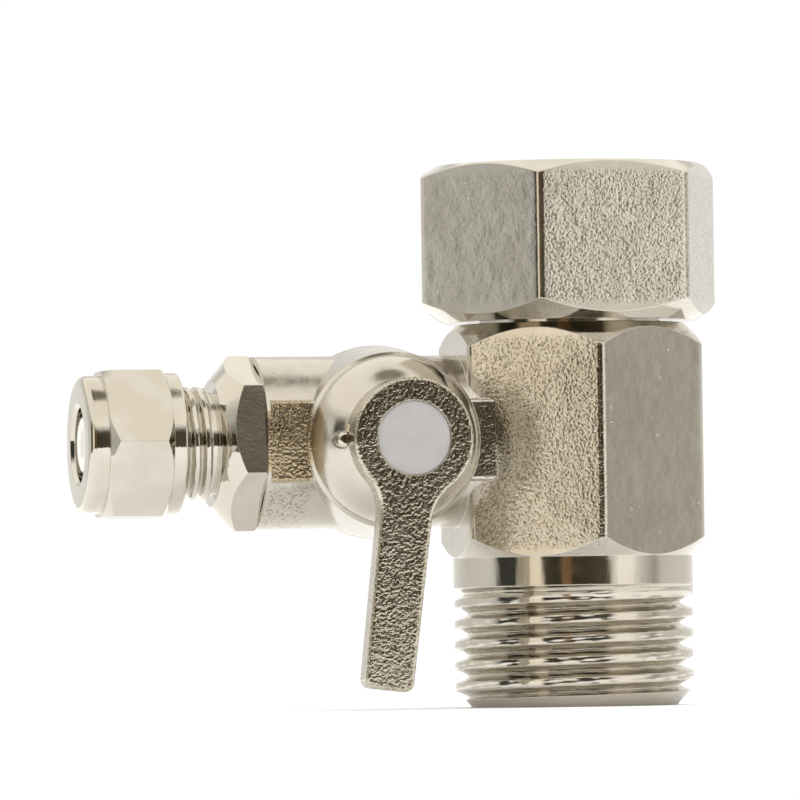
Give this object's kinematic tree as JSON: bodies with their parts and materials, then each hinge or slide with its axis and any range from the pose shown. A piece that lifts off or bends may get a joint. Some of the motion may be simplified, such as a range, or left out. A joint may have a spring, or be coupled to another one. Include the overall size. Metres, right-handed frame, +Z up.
{
  "type": "tee valve",
  "caption": "Pipe tee with a swivel female end, a male end and a side branch holding a quarter-turn ball valve and a compression outlet for small tube.",
  "frame": {"origin": "centre of the male end face, where the main waterway opens", "axes": "+Z up the main waterway to the swivel nut, branch outlet towards -X, valve stem and handle towards -Y"},
  "size_m": [0.0574, 0.0286, 0.0474],
  "materials": {
    "forged_nickel": "hot-forged brass, satin nickel plate",
    "machined_nickel": "turned brass, bright nickel plate",
    "cast_nickel": "rough-cast lever, nickel plate",
    "bare_brass": "turned brass",
    "polished_ball": "polished plated brass",
    "spring_steel": "stainless steel",
    "white_ptfe": "white PTFE",
    "black_rubber": "nitrile rubber",
    "grey_cap": "translucent moulded plastic"
  },
  "bodies": {
    "valve_body": {"tee_body": "forged_nickel", "nut_retaining_ring": "spring_steel", "nut_gasket": "black_rubber", "seat_ring_inner": "white_ptfe", "seat_ring_outer": "white_ptfe", "stem_thrust_washer": "white_ptfe", "stop_pin": "spring_steel", "outlet_adapter": "machined_nickel", "adapter_o_ring": "black_rubber"},
    "handle": {"handle_lever": "cast_nickel", "stem": "bare_brass", "ball": "polished_ball", "stem_o_ring_lower": "black_rubber", "stem_o_ring_upper": "black_rubber", "handle_lock_washer": "spring_steel", "handle_screw": "spring_steel", "handle_cap": "grey_cap"},
    "swivel_nut": {"swivel_nut": "forged_nickel"},
    "ferrule": {"compression_ferrule": "bare_brass"},
    "compression_nut": {"compression_nut": "machined_nickel"}
  },
  "joints": [
    {"name": "handle_turn", "type": "hinge", "parent": "valve_body", "child": "handle", "pos_m": [-0.0175, 0, 0.02325], "axis": [0, 1, 0], "range_deg": [-6.7, 83.3]},
    {"name": "swivel_nut_turn", "type": "hinge", "parent": "valve_body", "child": "swivel_nut", "pos_m": [0, 0, 0.04], "axis": [0, 0, 1], "continuous": true},
    {"name": "compression_nut_travel", "type": "slide", "parent": "valve_body", "child": "ferrule", "axis": [1, 0, 0], "range_m": [-0.00375, 0.001]},
    {"name": "compression_nut_turn", "type": "hinge", "parent": "ferrule", "child": "compression_nut", "pos_m": [-0.04, 0, 0.02325], "axis": [1, 0, 0], "range_deg": [-1350, 360]}
  ],
  "couplings": [
    {"joint": "compression_nut_travel", "follows": "compression_nut_turn", "m_per_rad": 0.00015915}
  ]
}
